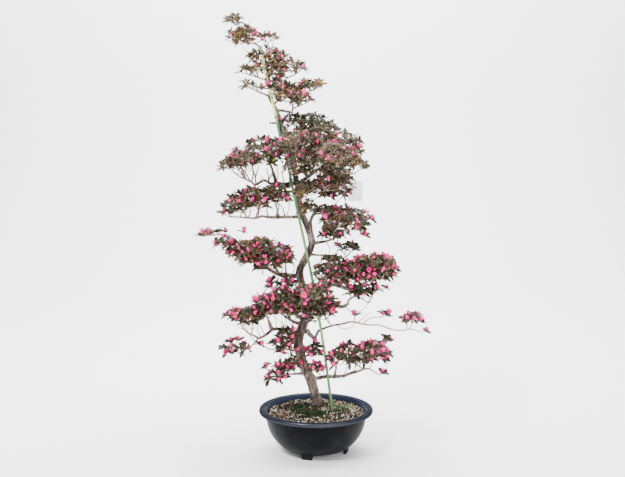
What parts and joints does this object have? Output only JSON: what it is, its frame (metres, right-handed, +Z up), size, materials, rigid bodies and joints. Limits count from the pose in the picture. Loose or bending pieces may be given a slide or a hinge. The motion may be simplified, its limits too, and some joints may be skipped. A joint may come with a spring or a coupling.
{
  "type": "satsuki azalea bonsai",
  "caption": "Tall slender azalea bonsai in bud, with a winding trunk tied to a thin garden stake, in a round footed training pot.",
  "frame": {"origin": "middle of the bounding box's base, on the surface that the pot's feet stand on", "axes": "+Z up, -Y towards the tree's front, +X to the right seen from the front"},
  "size_m": [0.6618, 0.4736, 1.2425],
  "materials": {
    "pot_plastic": "satin",
    "soil_granules": "rough",
    "bark": "rough",
    "azalea_foliage": "matte",
    "stake_plastic": "satin",
    "tie_wire": "matte",
    "tag_card": "satin",
    "eyelet_metal": "satin",
    "thread": "matte"
  },
  "bodies": {
    "root": {"hang_tag": "tag_card", "pot": "pot_plastic", "soil": "soil_granules", "spray_bottom_left": "azalea_foliage", "spray_bottom_left_low": "azalea_foliage", "spray_bottom_mid": "azalea_foliage", "spray_bottom_right": "azalea_foliage", "spray_centre_back": "azalea_foliage", "spray_centre_front": "azalea_foliage", "spray_centre_high": "azalea_foliage", "spray_dome_back_left": "azalea_foliage", "spray_dome_back_right": "azalea_foliage", "spray_dome_front_left": "azalea_foliage", "spray_dome_front_right": "azalea_foliage", "spray_dome_low": "azalea_foliage", "spray_dome_right": "azalea_foliage", "spray_dome_top": "azalea_foliage", "spray_left_hang": "azalea_foliage", "spray_left_inner": "azalea_foliage", "spray_left_level": "azalea_foliage", "spray_left_level_rise": "azalea_foliage", "spray_left_shoot": "azalea_foliage", "spray_left_upper": "azalea_foliage", "spray_left_upper_rise": "azalea_foliage", "spray_long_left": "azalea_foliage", "spray_long_left_back": "azalea_foliage", "spray_long_right": "azalea_foliage", "spray_low_centre": "azalea_foliage", "spray_lower_left": "azalea_foliage", "spray_lower_left_rise": "azalea_foliage", "spray_neck_back": "azalea_foliage", "spray_neck_left": "azalea_foliage", "spray_neck_right": "azalea_foliage", "spray_right_loop": "azalea_foliage", "spray_right_low": "azalea_foliage", "spray_right_mid": "azalea_foliage", "spray_right_mid_back": "azalea_foliage", "spray_right_mid_rise": "azalea_foliage", "spray_right_tier": "azalea_foliage", "spray_right_tier_back": "azalea_foliage", "spray_right_tier_low": "azalea_foliage", "spray_top": "azalea_foliage", "spray_top_right": "azalea_foliage", "spray_trunk_shoot": "azalea_foliage", "spray_upper_left": "azalea_foliage", "spray_upper_right": "azalea_foliage", "stake": "stake_plastic", "tag_eyelet": "eyelet_metal", "tag_thread": "thread", "tie_middle": "tie_wire", "tie_upper": "tie_wire", "trunk": "bark"}
  },
  "joints": []
}
